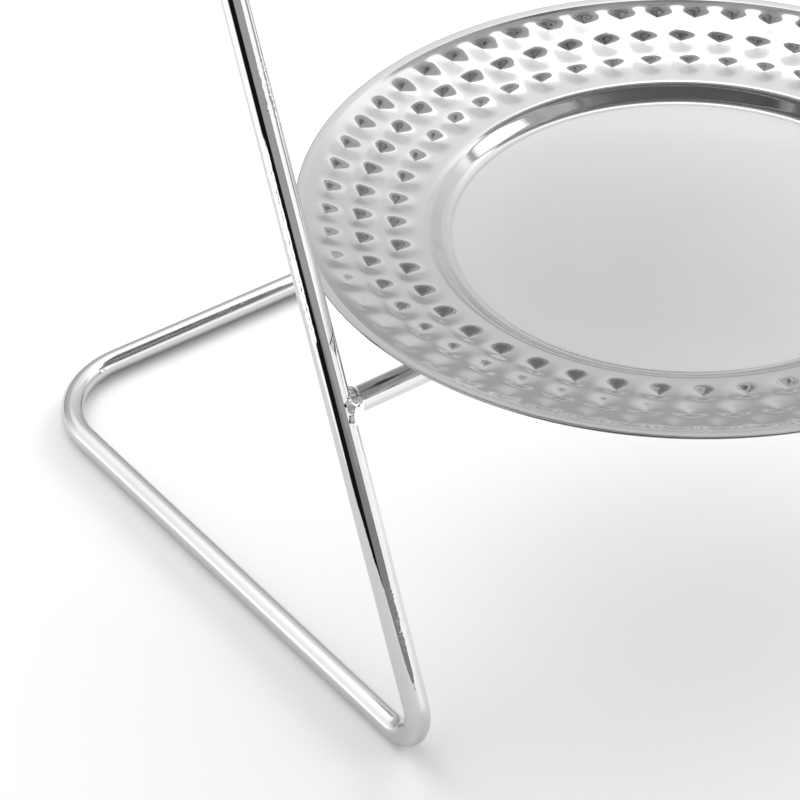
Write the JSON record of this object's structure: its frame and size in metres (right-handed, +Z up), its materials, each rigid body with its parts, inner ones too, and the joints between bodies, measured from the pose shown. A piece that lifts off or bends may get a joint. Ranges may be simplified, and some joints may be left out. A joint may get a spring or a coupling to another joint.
{
  "type": "tiered serving stand",
  "caption": "Leaning bent-rod serving stand with staggered round plates that lift out of wire seat rings, hammered rims and a carrying handle at the top.",
  "frame": {"origin": "on the table, in the stand's middle plane, under the middle tier's centre", "axes": "+X across the stand to its right, -Y towards its front, +Z up"},
  "size_m": [0.2122, 0.2736, 0.4132],
  "materials": {
    "frame_chrome": "bright plated steel rod with faint plating ripples",
    "weld_chrome": "plated over lumpy weld beads",
    "plate_steel": "satin floor, polished wall and rim with three rows of hammer marks"
  },
  "bodies": {
    "frame": {"left_upright": "frame_chrome", "right_upright": "frame_chrome", "left_foot": "frame_chrome", "right_foot": "frame_chrome", "back_bar": "frame_chrome", "top_handle": "frame_chrome", "lower_crossbar": "frame_chrome", "lower_seat_ring": "frame_chrome", "middle_crossbar": "frame_chrome", "middle_seat_ring": "frame_chrome", "upper_crossbar": "frame_chrome", "upper_seat_ring": "frame_chrome", "lower_left_bar_weld": "weld_chrome", "lower_left_ring_weld": "weld_chrome", "lower_right_bar_weld": "weld_chrome", "lower_right_ring_weld": "weld_chrome", "middle_left_bar_weld": "weld_chrome", "middle_left_ring_weld": "weld_chrome", "middle_right_bar_weld": "weld_chrome", "middle_right_ring_weld": "weld_chrome", "upper_left_bar_weld": "weld_chrome", "upper_left_ring_weld": "weld_chrome", "upper_right_bar_weld": "weld_chrome", "upper_right_ring_weld": "weld_chrome"},
    "lower_plate": {"lower_plate": "plate_steel"},
    "middle_plate": {"middle_plate": "plate_steel"},
    "upper_plate": {"upper_plate": "plate_steel"}
  },
  "joints": [
    {"name": "lower_plate_lift", "type": "slide", "parent": "frame", "child": "lower_plate", "axis": [0, 0, 1], "range_m": [0, 0.06]},
    {"name": "middle_plate_lift", "type": "slide", "parent": "frame", "child": "middle_plate", "axis": [0, 0, 1], "range_m": [0, 0.06]},
    {"name": "upper_plate_lift", "type": "slide", "parent": "frame", "child": "upper_plate", "axis": [0, 0, 1], "range_m": [0, 0.06]}
  ]
}
